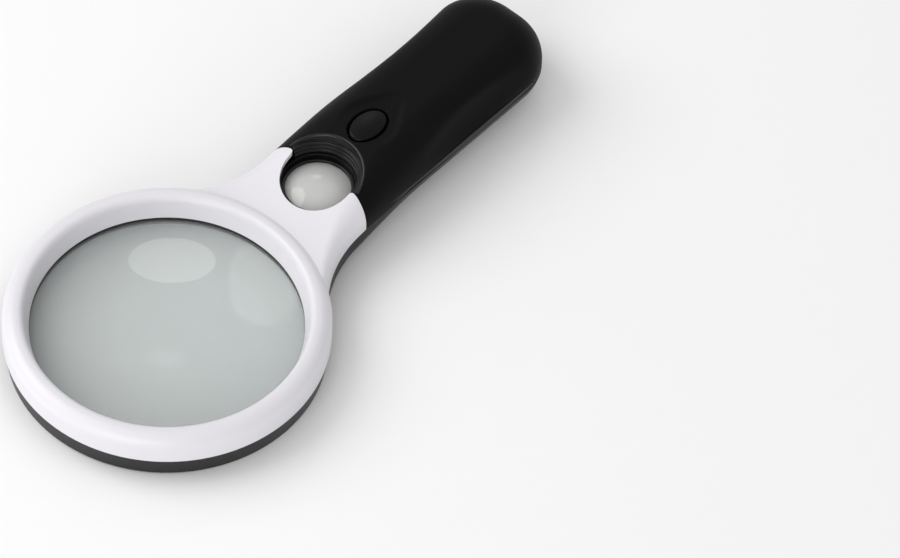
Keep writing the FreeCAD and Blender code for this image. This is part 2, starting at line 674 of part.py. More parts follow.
# ---- button and switch ------------------------------------------------------------
def make_button_cap():
    flange_length = BUTTON_LENGTH + 2 * BUTTON_FLANGE_WIDTH
    flange_width = BUTTON_WIDTH + 2 * BUTTON_FLANGE_WIDTH
    flange = oval(flange_length, flange_width, 0, BUTTON_Y, BUTTON_BOTTOM_Z, BUTTON_FLANGE_TOP_Z)
    stem = oval(BUTTON_LENGTH, BUTTON_WIDTH, 0, BUTTON_Y, BUTTON_BOTTOM_Z, BUTTON_TOP_Z)
    crown = Part.makeSphere(BUTTON_CROWN_RADIUS, Vec(0, BUTTON_Y, BUTTON_TOP_Z - BUTTON_CROWN_RADIUS))
    return flange.fuse(stem.common(crown)).removeSplitter()


def make_switch_body():
    half = SWITCH_SIZE / 2
    body = block(-half, half, BUTTON_Y - half, BUTTON_Y + half, BOARD_TOP_Z, SWITCH_TOP_Z)
    bore = PLUNGER_DIAMETER / 2 + PLUNGER_CLEARANCE
    return body.cut(disc(bore, 0, BUTTON_Y, 0, BIG))


def make_plunger():
    low = BOARD_TOP_Z + BUTTON_TRAVEL + 2 * PLUNGER_CLEARANCE
    return disc(PLUNGER_DIAMETER / 2, 0, BUTTON_Y, low, BUTTON_BOTTOM_Z)


def make_button_spring():
    """Conical return spring round the plunger, drawn as its closed coil."""
    low = SWITCH_TOP_Z + SPRING_GAP
    high = BUTTON_BOTTOM_Z - SPRING_GAP
    wide = SPRING_RADIUS
    narrow = SPRING_RADIUS - SPRING_CONE
    outline = [(wide - SPRING_WIRE, low), (wide, low), (narrow, high), (narrow - SPRING_WIRE, high)]
    return revolved(outline, BUTTON_Y)


# ---- electrics --------------------------------------------------------------------
def make_control_board():
    half = BOARD_HALF_WIDTH
    return block(-half, half, BOARD_FRONT_Y, BOARD_BACK_Y, BOARD_Z, BOARD_TOP_Z)


def make_inductor():
    x, y = INDUCTOR_PLACE
    top = BOARD_TOP_Z + INDUCTOR_HEIGHT
    low = BOARD_TOP_Z + INDUCTOR_CHEEK
    high = top - INDUCTOR_CHEEK
    core = disc(INDUCTOR_RADIUS, x, y, BOARD_TOP_Z, top)
    waist = disc(INDUCTOR_RADIUS, x, y, low, high)
    coil = disc(INDUCTOR_COIL_RADIUS, x, y, low, high)
    return core.cut(waist).fuse(coil).removeSplitter()


def make_capacitor():
    can = disc(CAPACITOR_RADIUS, *CAPACITOR_PLACE, BOARD_TOP_Z, BOARD_TOP_Z + CAPACITOR_HEIGHT)
    return can.makeFillet(CAPACITOR_BEVEL, [can.Edges[0]])


def make_led(x):
    radius = LED_DIAMETER / 2
    bend = LED_TIP_Z + radius
    body = disc(radius, x, LED_Y, bend, LED_BOARD_Z - LED_FLANGE_THICKNESS)
    tip = Part.makeSphere(radius, Vec(x, LED_Y, bend))
    flange_low = LED_BOARD_Z - LED_FLANGE_THICKNESS
    flange = disc(LED_FLANGE_DIAMETER / 2, x, LED_Y, flange_low, LED_BOARD_Z)
    return fused([body, tip, flange])


def make_led_board():
    half = NECK_WIDTH / 2 - WALL + LED_BOARD_LAP
    depth = LED_BOARD_DEPTH / 2
    top = LED_BOARD_Z + LED_BOARD_THICKNESS
    return block(-half, half, LED_Y - depth, LED_Y + depth, LED_BOARD_Z, top)


def make_tray():
    """Roofed tray over the cells, open below, whose front wall reaches down between the cells' ends."""
    inner = DOOR_HALF_WIDTH + DOOR_CLEARANCE
    outer = inner + TRAY_WALL
    front = TRAY_FRONT_Y - TRAY_WALL
    back = TRAY_BACK_Y + TRAY_WALL
    tongue_half = CELL_X + CELL_DIAMETER / 2 - TRAY_TONGUE_IN
    walls = [
        block(-outer, outer, front, back, TRAY_ROOF_Z, BOARD_Z),
        block(-outer, -inner, front, back, RAIL_TOP_Z, BOARD_Z),
        block(inner, outer, front, back, RAIL_TOP_Z, BOARD_Z),
        block(-outer, outer, front, TRAY_FRONT_Y, RAIL_TOP_Z, BOARD_Z),
        block(-outer, outer, TRAY_BACK_Y, back, RAIL_TOP_Z, BOARD_Z),
        block(-tongue_half, tongue_half, front, TRAY_FRONT_Y, WALL + TRAY_TONGUE_GAP, BOARD_Z),
    ]
    return fused(walls)


def make_cell(x, nub_forward):
    """One AAA cell lying along the handle; the nub faces the head or the handle's end."""
    radius = CELL_DIAMETER / 2
    along = Vec(0, 1, 0)
    nub_radius = CELL_NUB_DIAMETER / 2
    body_start = CELL_FRONT_Y + (CELL_NUB_LENGTH if nub_forward else 0)
    body = Part.makeCylinder(radius, CELL_LENGTH - CELL_NUB_LENGTH, Vec(x, body_start, CELL_Z), along)
    nub_start = CELL_FRONT_Y if nub_forward else CELL_BACK_Y - CELL_NUB_LENGTH
    nub = Part.makeCylinder(nub_radius, CELL_NUB_LENGTH, Vec(x, nub_start, CELL_Z), along)
    return body.fuse(nub).removeSplitter()


def contact_plate(x0, x1, y0):
    return block(x0, x1, y0, y0 + CONTACT_THICKNESS, CELL_Z - CONTACT_DROP, CELL_Z + CONTACT_RISE)


def contact_cone(radii, x, base_y, side):
    """Squashed conical battery spring, drawn as its closed coil, or the raised bump for a nub."""
    return Part.makeCone(*radii, CONTACT_LENGTH, Vec(x, base_y, CELL_Z), Vec(0, side, 0))


def make_screws():
    neck, handle = screw_places()
    screws = []
    long, wide = SCREW_SLOT_HALF_LENGTH, SCREW_SLOT_HALF_WIDTH
    groups = (
        (neck, NECK_SCREW_HEAD_Z, NECK_THICKNESS - WALL - SCREW_TIP_GAP),
        (handle, HANDLE_SCREW_HEAD_Z, HANDLE_BOSS_SPLIT + SCREW_BITE),
    )
    for places, head_z, tip_z in groups:
        slot_z = head_z + SCREW_SLOT_DEPTH
        for x, y in places:
            head = disc(SCREW_HEAD_DIAMETER / 2, x, y, head_z, head_z + SCREW_HEAD_THICKNESS)
            shank = disc(SCREW_DIAMETER / 2, x, y, head_z, tip_z)
            slot = block(x - long, x + long, y - wide, y + wide, head_z - 1, slot_z)
            cross = block(x - wide, x + wide, y - long, y + long, head_z - 1, slot_z)
            screws.append(fused([head, shank]).cut(slot).cut(cross))
    return Part.makeCompound(screws)


def led_wire(side):
    """Wire from the control board, past the loupe barrel, to the LED board."""
    z = LED_BOARD_Z + LED_BOARD_THICKNESS + WIRE_RADIUS
    low = BOARD_Z - WIRE_RADIUS
    beside = BARREL_RADIUS + WIRE_RADIUS + WIRE_GAP
    return [
        (side * WIRE_START_X, BOARD_FRONT_Y + WIRE_LAP, low),
        (side * WIRE_START_X, BOARD_FRONT_Y - WIRE_LEAD, low),
        (side * beside, LOUPE_Y + WIRE_PASS_BACK, z),
        (side * beside, LOUPE_Y - WIRE_PASS_FRONT, z),
        (side * WIRE_END_X, LED_Y + WIRE_END_RUN, z),
        (side * WIRE_END_X, LED_Y - WIRE_LAP, z),
    ]


def main():
    form = outer_form(0)
    hollow = outer_form(WALL)
    lens = make_main_lens()
    loupe = make_loupe_lens()
    save("rear_housing", make_rear_housing(form, hollow, lens))
    save("front_bezel", make_front_bezel(form, hollow))
    save("handle_top_cover", make_top_cover(form, hollow))
    save("battery_door", make_battery_door(form, hollow))

    save("main_lens", lens)
    save("main_lens_gasket", make_lens_gasket(lens))
    save("loupe_barrel", make_loupe_barrel(hollow, loupe))
    save("loupe_lens", loupe)
    save("loupe_retaining_ring", make_loupe_ring(loupe))

    save("button_cap", make_button_cap())
    save("switch_body", make_switch_body())
    save("switch_plunger", make_plunger())
    save("button_spring", make_button_spring())

    save("control_board", make_control_board())
    save("inductor", make_inductor())
    save("driver_chip", block(*CHIP_OUTLINE, BOARD_TOP_Z, BOARD_TOP_Z + CHIP_HEIGHT))
    save("capacitor", make_capacitor())
    save("current_resistor", block(*RESISTOR_OUTLINE, BOARD_TOP_Z, BOARD_TOP_Z + RESISTOR_HEIGHT))
    save("led_board", make_led_board())
    for name, x in (("led_left", -LED_SPACING), ("led_centre", 0), ("led_right", LED_SPACING)):
        save(name, make_led(x))

    save("battery_tray", make_tray())
    save("cell_left", make_cell(-CELL_X, True))
    save("cell_right", make_cell(CELL_X, False))
    front_base = CELL_FRONT_Y - CONTACT_LENGTH
    back_base = CELL_BACK_Y + CONTACT_LENGTH
    half = CELL_X + CONTACT_HALF_WIDTH
    gap = CELL_X - CONTACT_HALF_WIDTH
    front_bump = contact_cone(CONTACT_BUMP_RADII, -CELL_X, front_base, 1)
    rear_bump = contact_cone(CONTACT_BUMP_RADII, CELL_X, back_base, -1)
    save("front_contact", contact_plate(-half, half, TRAY_FRONT_Y).fuse(front_bump))
    save("front_contact_spring", contact_cone(BATTERY_SPRING_RADII, CELL_X, front_base, 1))
    save("rear_contact_positive", contact_plate(gap, half, back_base).fuse(rear_bump))
    save("rear_contact_negative", contact_plate(-half, -gap, back_base))
    save("rear_contact_spring", contact_cone(BATTERY_SPRING_RADII, -CELL_X, back_base, -1))
    save("led_wire_red", bent_tube(led_wire(1), WIRE_RADIUS, WIRE_BEND))
    save("led_wire_black", bent_tube(led_wire(-1), WIRE_RADIUS, WIRE_BEND))
    save("case_screws", make_screws())


main()
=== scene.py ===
import json
import math

import bmesh
import bpy
import numpy as np
from mathutils import Matrix, Vector


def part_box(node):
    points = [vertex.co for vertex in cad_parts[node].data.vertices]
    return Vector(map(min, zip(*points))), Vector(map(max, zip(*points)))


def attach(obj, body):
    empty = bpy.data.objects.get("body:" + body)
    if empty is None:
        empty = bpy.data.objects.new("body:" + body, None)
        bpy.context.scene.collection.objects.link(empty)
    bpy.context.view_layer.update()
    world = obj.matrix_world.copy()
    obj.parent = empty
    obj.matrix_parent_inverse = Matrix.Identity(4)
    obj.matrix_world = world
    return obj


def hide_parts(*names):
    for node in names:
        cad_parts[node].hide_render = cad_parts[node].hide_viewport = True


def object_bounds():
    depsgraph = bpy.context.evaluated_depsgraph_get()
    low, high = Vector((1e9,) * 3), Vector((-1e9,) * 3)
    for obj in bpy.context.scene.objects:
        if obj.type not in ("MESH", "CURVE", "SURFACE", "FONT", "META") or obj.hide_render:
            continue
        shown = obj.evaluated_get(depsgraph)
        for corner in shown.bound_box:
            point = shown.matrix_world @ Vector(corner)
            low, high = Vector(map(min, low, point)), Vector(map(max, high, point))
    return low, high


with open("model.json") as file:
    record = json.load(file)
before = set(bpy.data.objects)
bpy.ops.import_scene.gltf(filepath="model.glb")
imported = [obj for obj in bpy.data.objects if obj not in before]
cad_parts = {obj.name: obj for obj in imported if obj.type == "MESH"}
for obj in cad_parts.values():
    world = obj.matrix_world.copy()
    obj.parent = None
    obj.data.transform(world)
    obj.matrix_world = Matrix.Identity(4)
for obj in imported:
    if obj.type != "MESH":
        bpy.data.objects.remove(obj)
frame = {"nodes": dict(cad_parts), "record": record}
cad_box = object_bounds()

# Looks of a hand magnifier: white bezel, black battery handle, two clear lenses.
# Metres, +Z up.  It lies on its back on a pale floor, handle along +Y.
# Shapes are worked out in millimetres and become metres when their mesh is made.

MM = 0.001
TURN = 2 * math.pi


def sizes(node):
    """A node's centre, (low + high) / 2, and its half sizes, (high - low) / 2, in millimetres."""
    low, high = (np.array(corner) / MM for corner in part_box(node))
    return (low + high) / 2, (high - low) / 2


# ---- places and sizes, in millimetres --------------------------------------------
# Places taken from the frame are rounded to a micrometre.
HEAD_Y, LOUPE_Y, BUTTON_Y = (
    round(float(sizes(node)[0][1]), 3) for node in ("main_lens", "loupe_lens", "button_spring"))

# Points round a ring and a cell, up a lens's face, and over a rounded corner, an arm's tip and the mouth.
AROUND, CELL_AROUND, LENS_STEPS, CORNER_STEPS, TIP_STEPS, MOUTH_STEPS = 192, 96, 40, 5, 12, 10
BEVEL_SEGMENTS = 3
SHARP_ANGLE = 40
HAIR, MERGE = 0.001, 0.0001
LARGEST_CUT = 0.48

# Lenses and the small lens's retaining ring.
MAIN_LENS_EDGE, LOUPE_LENS_EDGE, EDGE_BREAK = 1.5, 1.4, 0.15
RING_LAP, RING_FLANGE = 0.65, 0.4
RING_ROUNDS = (0.05, 0.05, 0.05, 0.05, 0.12, 0.3)

# Button: a crown inside its guide flange, and a groove below for the return spring.
GUIDE_WIDTH, GUIDE_HEIGHT = 1.0, 1.0
CAP_INSET, CAP_ROLL, CAP_DROP = 0.35, 0.8, 0.7
CROWN_STEPS, ROLL_STEPS = 16, 8
GROOVE_INSIDE, GROOVE_OUTSIDE, GROOVE_DEPTH = 0.9, 0.2, 1.25

# Battery springs and cells.  A cell's corners are (outwards, along) from its base's and its shoulder's rim.
SPRING_WIRE, SPRING_TURNS, SPRING_TAPER = 0.25, 3.25, 0.6
COIL_STEPS, COIL_GIRTH = 48, 12
NUB_LENGTH, NUB_RADIUS, NUB_FOOT, NUB_SINK = 1.0, 1.9, 2.4, 0.1
CELL_ROUND = 0.25
CELL_BASE = ((-0.5, 0.0), (0.0, 0.4))
CELL_SHOULDER = ((0.0, -1.6), (-0.25, -1.3), (-0.25, -1.0), (0.0, -0.8), (-0.3, 0.0), (-1.0, -NUB_SINK))

# Top cover: heights, long edges and widths of neck and handle, and the seam behind the white arms.
NECK_TOP, HANDLE_TOP = 13.8, round(cad_box[1][2] / MM, 3)
NECK_EDGE, HANDLE_EDGE = 3.0, 11.0
NECK_RISE_START, HANDLE_START = -13.0, 35.0
HANDLE_HALF, NECK_WIDER, NECK_SIDE_START = 16.8, 0.2, 8.06
TIP_CORNER = 14.5
SEAM_RADIUS, SEAM_FADE, SEAM_PASSES = 61.6, 22.0, 3
SEAM_Y = HEAD_Y + SEAM_RADIUS
SIDE_ROWS, TIP_ROWS, END_ROWS = 240, 60, 12
EDGE_COLUMNS, TOP_COLUMNS = 29, 19
WALL, COVER_EDGE, COVER_EDGE_ANGLE = 1.6, 0.35, 42

# Finger hollows and the button's recess and hole.
HOLLOW_X, HOLLOW_Y, HOLLOW_Z = 124.2, 56.2, 21.7
HOLLOW_RING, HOLLOW_TUBE, HOLLOW_BLEND = 95.0, 16.0, 0.6
RECESS_RADIUS, RECESS_TAIL, RECESS_FLOOR, RECESS_BLEND, RECESS_FADE = 7.8, 16.0, 22.15, 2.2, 5.0
BUTTON_GAP = 0.2
FLARE_START, FLARE_RISE, FLARE_STEP, FLARE_WIDTH, FLARE_TOP = 0.5, 0.2, 0.12, 0.45, 0.1
HOLE_LOW, CUT_HIGH = 10.0, 40.0

# Collar round the small lens's far side: three steps, then a round lip at the cover's top.
COLLAR_HOLE, COLLAR_RADIUS, COLLAR_LIP = 10.3, 11.6, 0.9
COLLAR_LOW, COLLAR_STEP, COLLAR_HEIGHTS, COLLAR_HIGH = 15.0, 0.35, (16.6, 17.6, 18.8), 24.0
COLLAR_ROUNDS, LIP_ROUND = (0.05, 0.3, 0.1, 0.3, 0.1, 0.3, 0.15), 0.02
LIP_STEPS, LIP_DROP, LIP_RISE = 9, 0.35, 0.5
COLLAR_TUCK, COLLAR_ROWS = 0.9, 120

# Cuts in the bezel: the inner corners of its arms, and the mouth inside its crest.
ARM_ROUND, ARM_CORNER, ARM_SEAM_GAP = 1.9, 2.0, 0.1
ARM_LEAN_X, ARM_LEAN_Y, ARM_CLEAR_X, ARM_CLEAR_Y = 0.25, 0.4, 1.5, 2.0
ARM_CUT_LOW, ARM_CUT_HIGH = 8.0, 30.0
CREST_Z, MOUTH_RADIUS, MOUTH_ROLL, MOUTH_SLOPE = 15.0, 38.0, 1.5, 0.27
MOUTH_CUT_RADIUS, MOUTH_CUT_HIGH = 20.0, 30.0

# Carried-over nodes whose edges are rounded, with the width of the rounding.
SOFTENED = {
    "front_bezel": 0.6, "rear_housing": 0.25, "battery_door": 0.2, "loupe_barrel": 0.12, "switch_body": 0.15,
    "case_screws": 0.05, "main_lens_gasket": 0.1, "control_board": 0.1, "led_board": 0.1, "driver_chip": 0.1,
    "current_resistor": 0.1, "battery_tray": 0.15,
}
SOFT_ANGLE, FLAT_ANGLE, JOIN = 35, 0.5, 0.002

# ---- camera, floor and light ---------------------------------------------------
AIM = Vector((0.0, HEAD_Y * MM, 12.1 * MM))
AZIMUTH, ELEVATION = math.radians(43.08), math.radians(51.81)
CAMERA_DISTANCE, CLIP_START, CLIP_END = 2.0, 0.1, 20.0
FOCAL_LENGTH, SENSOR = 304.8, 36.0
AIM_ACROSS, AIM_UP = -0.31436, -0.0422

SKY = 0.66
SOFTBOXES = {
    "key_left": ((-0.85, -0.45, 0.9), 1.1, 7.8),
    "front_fill": ((0.45, -1.25, 0.42), 1.0, 6.5),
    "glint": ((-0.65, 0.67, 0.72), 0.27, 0.3),
}
FLOOR_HALF, FLOOR_DROP = 3.0, 0.05 * MM


def stand(name, data):
    """New object in the scene that holds data."""
    made = bpy.data.objects.new(name, data)
    bpy.context.scene.collection.objects.link(made)
    return made


def make_camera():
    """Camera that looks from back = (sin a cos e, -cos a cos e, sin e), turned to set the aim point off centre."""
    back = Vector((
        math.sin(AZIMUTH) * math.cos(ELEVATION),
        -math.cos(AZIMUTH) * math.cos(ELEVATION),
        math.sin(ELEVATION),
    ))
    right = Vector((math.cos(AZIMUTH), math.sin(AZIMUTH), 0.0))
    straight = Matrix((right, back.cross(right), back)).transposed()
    tilt = SENSOR / FOCAL_LENGTH
    ray = Vector((AIM_ACROSS * tilt, AIM_UP * tilt, -1.0)).normalized()
    turn = Vector((0.0, 0.0, -1.0)).rotation_difference(ray).to_matrix()
    data = bpy.data.cameras.new("camera")
    data.sensor_width, data.lens = SENSOR, FOCAL_LENGTH
    data.clip_start, data.clip_end = CLIP_START, CLIP_END
    camera = stand("camera", data)
    camera.matrix_world = Matrix.Translation(AIM + back * CAMERA_DISTANCE) @ (straight @ turn.inverted()).to_4x4()
    bpy.context.scene.camera = camera


def make_softbox(name, place, size, power):
    """Round area lamp at place, facing the magnifier."""
    data = bpy.data.lights.new(name, "AREA")
    data.shape, data.size, data.energy = "DISK", size, power
    lamp = stand(name, data)
    lamp.location = place
    lamp.rotation_euler = (-Vector(place)).to_track_quat("-Z", "Y").to_euler()


def make_studio():
    """Even white surroundings and the softboxes."""
    scene = bpy.context.scene
    scene.view_settings.view_transform = "Standard"
    scene.world = bpy.data.worlds.new("studio")
    scene.world.use_nodes = True
    backdrop = scene.world.node_tree.nodes["Background"]
    backdrop.inputs["Color"].default_value = (1.0, 1.0, 1.0, 1.0)
    backdrop.inputs["Strength"].default_value = SKY
    for name, softbox in SOFTBOXES.items():
        make_softbox(name, *softbox)


# ---- shader expressions ---------------------------------------------------------
class Shade:
    """One value in a finish's nodes, so that shader maths reads as Python."""

    def __init__(self, finish, socket):
        self.finish = finish
        self.socket = socket

    def maths(self, operation, first, second):
        return self.finish.node("ShaderNodeMath", {"operation": operation}, {0: first, 1: second})

    def __add__(self, other):
        return self.maths("ADD", self, other)

    def __sub__(self, other):
        return self.maths("SUBTRACT", self, other)

    def __rsub__(self, other):
        return self.maths("SUBTRACT", other, self)

    def __mul__(self, other):
        return self.maths("MULTIPLY", self, other)

    __radd__ = __add__
    __rmul__ = __mul__


class Finish:
    """One procedural material: constants sit on its shader's own sockets, patterns come from node()."""

    def __init__(self, name, **constants):
        self.material = bpy.data.materials.new(name)
        self.material.use_nodes = True
        self.tree = self.material.node_tree
        self.shader = self.tree.nodes["Principled BSDF"]
        for socket, value in constants.items():
            self.set(socket.replace("_", " "), value)

    def feed(self, socket, value):
        if isinstance(value, Shade):
            self.tree.links.new(value.socket, socket)
        else:
            socket.default_value = value

    def set(self, socket, value):
        self.feed(self.shader.inputs[socket], value)

    def node(self, kind, settings=None, inputs=None, output=0):
        """Adds a node of one kind: its settings first, then each socket's value or link."""
        made = self.tree.nodes.new(kind)
        for name, value in (settings or {}).items():
            setattr(made, name, value)
        for name, value in (inputs or {}).items():
            self.feed(made.inputs[name], value)
        return Shade(self, made.outputs[output])

    def speckle(self, size, detail):
        """Noise from 0 to 1 whose blotches are about size millimetres across."""
        place = self.node("ShaderNodeTexCoord", output="Object")
        sockets = {"Vector": place, "Scale": 1.0 / (size * MM), "Detail": detail}
        return self.node("ShaderNodeTexNoise", {}, sockets)

    def between(self, share, low, high):
        """Colour that goes from low to high with share.  A colour mix has them on its sockets 0, 6 and 7."""
        return self.node("ShaderNodeMix", {"data_type": "RGBA"}, {0: share, 6: (*low, 1.0), 7: (*high, 1.0)}, 2)

    def raise_surface(self, height, depth):
        """Bump whose height runs from 0 to depth millimetres."""
        self.set("Normal", self.node("ShaderNodeBump", {}, {"Height": height, "Distance": depth * MM, "Strength": 1.0}))


BLOTCH_SIZE, BLOTCH_DETAIL, GRAIN_DETAIL = 9.0, 4.0, 2.0


def plastic(name, dark, light, roughness, spread, grain, grain_depth, **constants):
    """Moulded plastic: faint blotches of colour, uneven gloss, and a fine eroded grain."""
    finish = Finish(name, **constants)
    blotch = finish.speckle(BLOTCH_SIZE, BLOTCH_DETAIL)
    finish.set("Base Color", finish.between(blotch, dark, light))
    pits = finish.speckle(grain, GRAIN_DETAIL)
    finish.set("Roughness", roughness + spread * (pits - 0.5) + spread * (blotch - 0.5))
    finish.raise_surface(pits, grain_depth)
    return finish.material


def metal(name, dark, light, roughness, spread, grain, grain_depth):
    """Bare metal: the same blotches, gloss and grain on a metallic shader."""
    return plastic(name, dark, light, roughness, spread, grain, grain_depth, Metallic=1.0)


def clear(name, tint, ior, haze):
    """Clear polished optic: glass to the eye, with a share of haze, and open to the lamps behind it."""
    finish = Finish(name, Base_Color=(*tint, 1.0), Roughness=0.0, IOR=ior, Transmission_Weight=1.0 - haze)
    lamps = finish.node("ShaderNodeLightPath", output="Is Shadow Ray")
    glass = Shade(finish, finish.shader.outputs[0])
    opening = finish.node("ShaderNodeBsdfTransparent", {}, {"Color": (*tint, 1.0)})
    surface = finish.node("ShaderNodeMixShader", {}, {0: lamps, 1: glass, 2: opening})
    finish.feed(finish.tree.nodes["Material Output"].inputs["Surface"], surface)
    return finish.material


FINISHES = {
    "black_shell": plastic("soft_touch_black", (0.002, 0.002, 0.0023), (0.0035, 0.0035, 0.004),
                           0.52, 0.08, 0.35, 0.006, Specular_IOR_Level=0.09),
    # Rear housing's black: glossier than the cover's, which is real, and with a lighter base colour, which is a painted
    # sheen.
    "rear_black_painted_sheen": plastic("rear_black_painted_sheen", (0.009, 0.009, 0.0093), (0.013, 0.013, 0.0135),
                          0.42, 0.08, 0.35, 0.006, Specular_IOR_Level=0.3),
    "gloss_black": plastic("gloss_black", (0.003, 0.003, 0.0034), (0.005, 0.005, 0.0055),
                           0.22, 0.06, 0.4, 0.002, Specular_IOR_Level=0.4),
    "button_plastic": plastic("button_black", (0.002, 0.002, 0.0023), (0.004, 0.004, 0.0045),
                              0.34, 0.06, 0.3, 0.004, Specular_IOR_Level=0.14),
    "white_shell": plastic("satin_white", (0.73, 0.715, 0.75), (0.75, 0.735, 0.77), 0.36, 0.05, 0.8, 0.002),
    "lens_glass": clear("clear_optic", (0.75, 0.775, 0.77), 1.49, 0.24),
    "domed_optic": clear("domed_optic", (0.80, 0.80, 0.785), 1.49, 0.6),
    "rubber_seal": plastic("rubber_seal", (0.010, 0.010, 0.010), (0.014, 0.014, 0.014), 0.6, 0.1, 0.3, 0.004),
    "switch_plastic": plastic("switch_black", (0.03, 0.03, 0.033), (0.045, 0.045, 0.05), 0.4, 0.06, 0.3, 0.004),
    "circuit_board": plastic("circuit_board", (0.012, 0.09, 0.035), (0.018, 0.13, 0.05), 0.35, 0.1, 0.5, 0.003),
    "ferrite": plastic("ferrite", (0.04, 0.035, 0.035), (0.06, 0.055, 0.055), 0.6, 0.1, 0.3, 0.006),
    "chip_epoxy": plastic("chip_epoxy", (0.015, 0.015, 0.015), (0.025, 0.025, 0.025), 0.5, 0.1, 0.2, 0.003),
    "led_epoxy": plastic("led_epoxy", (0.75, 0.78, 0.72), (0.85, 0.87, 0.82), 0.12, 0.04, 0.6, 0.001),
    "cell_jacket": plastic("cell_jacket", (0.06, 0.08, 0.11), (0.08, 0.10, 0.14), 0.28, 0.08, 0.8, 0.001),
    "wire_red": plastic("wire_red", (0.35, 0.015, 0.015), (0.45, 0.025, 0.02), 0.35, 0.05, 0.3, 0.002),
    "wire_black": plastic("wire_black", (0.012, 0.012, 0.012), (0.02, 0.02, 0.02), 0.35, 0.05, 0.3, 0.002),
    "spring_steel": metal("spring_steel", (0.55, 0.55, 0.55), (0.65, 0.65, 0.65), 0.22, 0.1, 0.4, 0.001),
    "capacitor_can": metal("capacitor_can", (0.55, 0.55, 0.57), (0.65, 0.65, 0.67), 0.3, 0.1, 0.5, 0.001),
    "nickel_contact": metal("nickel_contact", (0.55, 0.53, 0.48), (0.65, 0.63, 0.58), 0.28, 0.1, 0.3, 0.001),
    "screw_steel": metal("screw_steel", (0.45, 0.45, 0.45), (0.6, 0.6, 0.6), 0.3, 0.1, 0.3, 0.002),
    "floor": plastic("floor_paper", (0.92, 0.92, 0.92), (0.93, 0.93, 0.93), 0.8, 0.02, 4.0, 0.0),
}
# The rear housing and battery door take the black whose lighter base colour is a painted sheen.
OWN_FINISH = {"loupe_barrel": "gloss_black", "rear_housing": "rear_black_painted_sheen", "battery_door": "rear_black_painted_sheen"}


def dress_frame():
    """Gives every carried-over node the finish of its slot in the record, or its own."""
    for part in frame["record"]["subparts"]:
        mesh = frame["nodes"][part["node"]].data
        mesh.materials.clear()
        mesh.materials.append(FINISHES[OWN_FINISH.get(part["node"], part["material_slot"])])


def make_floor():
    """Square sheet, (x, y) = half (+-1, +-1), a hair below the magnifier's back, so that they never share a plane."""
    corners = np.array(((-1, -1), (1, -1), (1, 1), (-1, 1))) * FLOOR_HALF
    mesh = bpy.data.meshes.new("floor")
    mesh.from_pydata(np.column_stack((corners, np.full(4, -FLOOR_DROP))).tolist(), [], [(0, 1, 2, 3)])
    mesh.materials.append(FINISHES["floor"])
    stand("floor", mesh)


# ---- surfaces -------------------------------------------------------------------
def bent(a, c, b, steps):
    """Points of (1-t)^2 a + 2 t (1-t) c + t^2 b with t from 0 to 1, which leave a towards c and end at b."""
    t = np.linspace(0.0, 1.0, steps)[:, None]
    return (1 - t) ** 2 * a + 2 * t * (1 - t) * c + t ** 2 * b


def rounded(corners, radius):
    """Closed outline with its corners turned into arcs.

    Each corner c is cut back to a and b by the radius, but by under half of its shorter side, and
    bent(a, c, b) joins the two."""
    corners = np.asarray(corners, float)
    before = np.roll(corners, 1, axis=0) - corners
    after = np.roll(corners, -1, axis=0) - corners
    run_before = np.linalg.norm(before, axis=1, keepdims=True)
    run_after = np.linalg.norm(after, axis=1, keepdims=True)
    cut = np.minimum(np.reshape(radius, (-1, 1)), LARGEST_CUT * np.minimum(run_before, run_after))
    a = (corners + before / run_before * cut)[:, None]
    b = (corners + after / run_after * cut)[:, None]
    return bent(a, corners[:, None], b, CORNER_STEPS).reshape(-1, 2)


def turned(outline, centre, around=AROUND, along_y=False):
    """An outline of (radius r, height s) carried round an axis: (w cos a, r sin a, s), or (w cos a, s, r sin a)
    along Y.  An oval's outline holds its radius across, w, as a third column; else w is r."""
    angle = np.linspace(0.0, TURN, around, endpoint=False)[:, None]
    r, s, w = outline[:, 0], outline[:, 1], outline[:, 2 if outline.shape[1] > 2 else 0]
    grid = np.stack((w * np.cos(angle), r * np.sin(angle), s + 0 * angle), axis=-1)
    return (grid[..., [0, 2, 1]] if along_y else grid) + np.asarray(centre)


def coil(wide, narrow, reach, centre):
    """Round wire wound on a cone along Y: its centre is (r cos a, s, r sin a), with r and s running evenly from end
    to end, and its skin is that centre + wire (cos f outwards, sin f along).  The ends close to a point."""
    t = np.linspace(0.0, 1.0, int(SPRING_TURNS * COIL_STEPS))
    angle = TURN * SPRING_TURNS * t
    girth = np.linspace(0.0, TURN, COIL_GIRTH, endpoint=False)
    thick = SPRING_WIRE * np.clip(np.minimum(t, 1 - t) * SPRING_TURNS * COIL_STEPS, 0.0, 1.0)[:, None]
    r = (wide + (narrow - wide) * t)[:, None] + thick * np.cos(girth)
    s = (2 * reach * t - reach)[:, None] + thick * np.sin(girth)
    return np.stack((r * np.cos(angle)[:, None], s, r * np.sin(angle)[:, None]), axis=-1) + centre


def skin(name, grid, loop=True, closed=False):
    """Mesh of a grid of points in millimetres: each four neighbours share a face.

    A loop grid's last row meets its first, and a closed one's last column its first.  Points in one place
    are merged, which closes poles, and faces are turned outwards."""
    index = np.arange(grid[..., 0].size).reshape(grid.shape[:2])
    if loop:
        index = np.concatenate((index, index[:1]), axis=0)
    if closed:
        index = np.concatenate((index, index[:, :1]), axis=1)
    corners = (index[:-1, :-1], index[1:, :-1], index[1:, 1:], index[:-1, 1:])
    mesh = bpy.data.meshes.new(name)
    mesh.from_pydata((grid.reshape(-1, 3) * MM).tolist(), [], np.stack(corners, axis=-1).reshape(-1, 4).tolist())
    tidy = bmesh.new()
    tidy.from_mesh(mesh)
    bmesh.ops.remove_doubles(tidy, verts=tidy.verts, dist=MERGE * MM)
    bmesh.ops.recalc_face_normals(tidy, faces=tidy.faces)
    tidy.to_mesh(mesh)
    tidy.free()
    return mesh


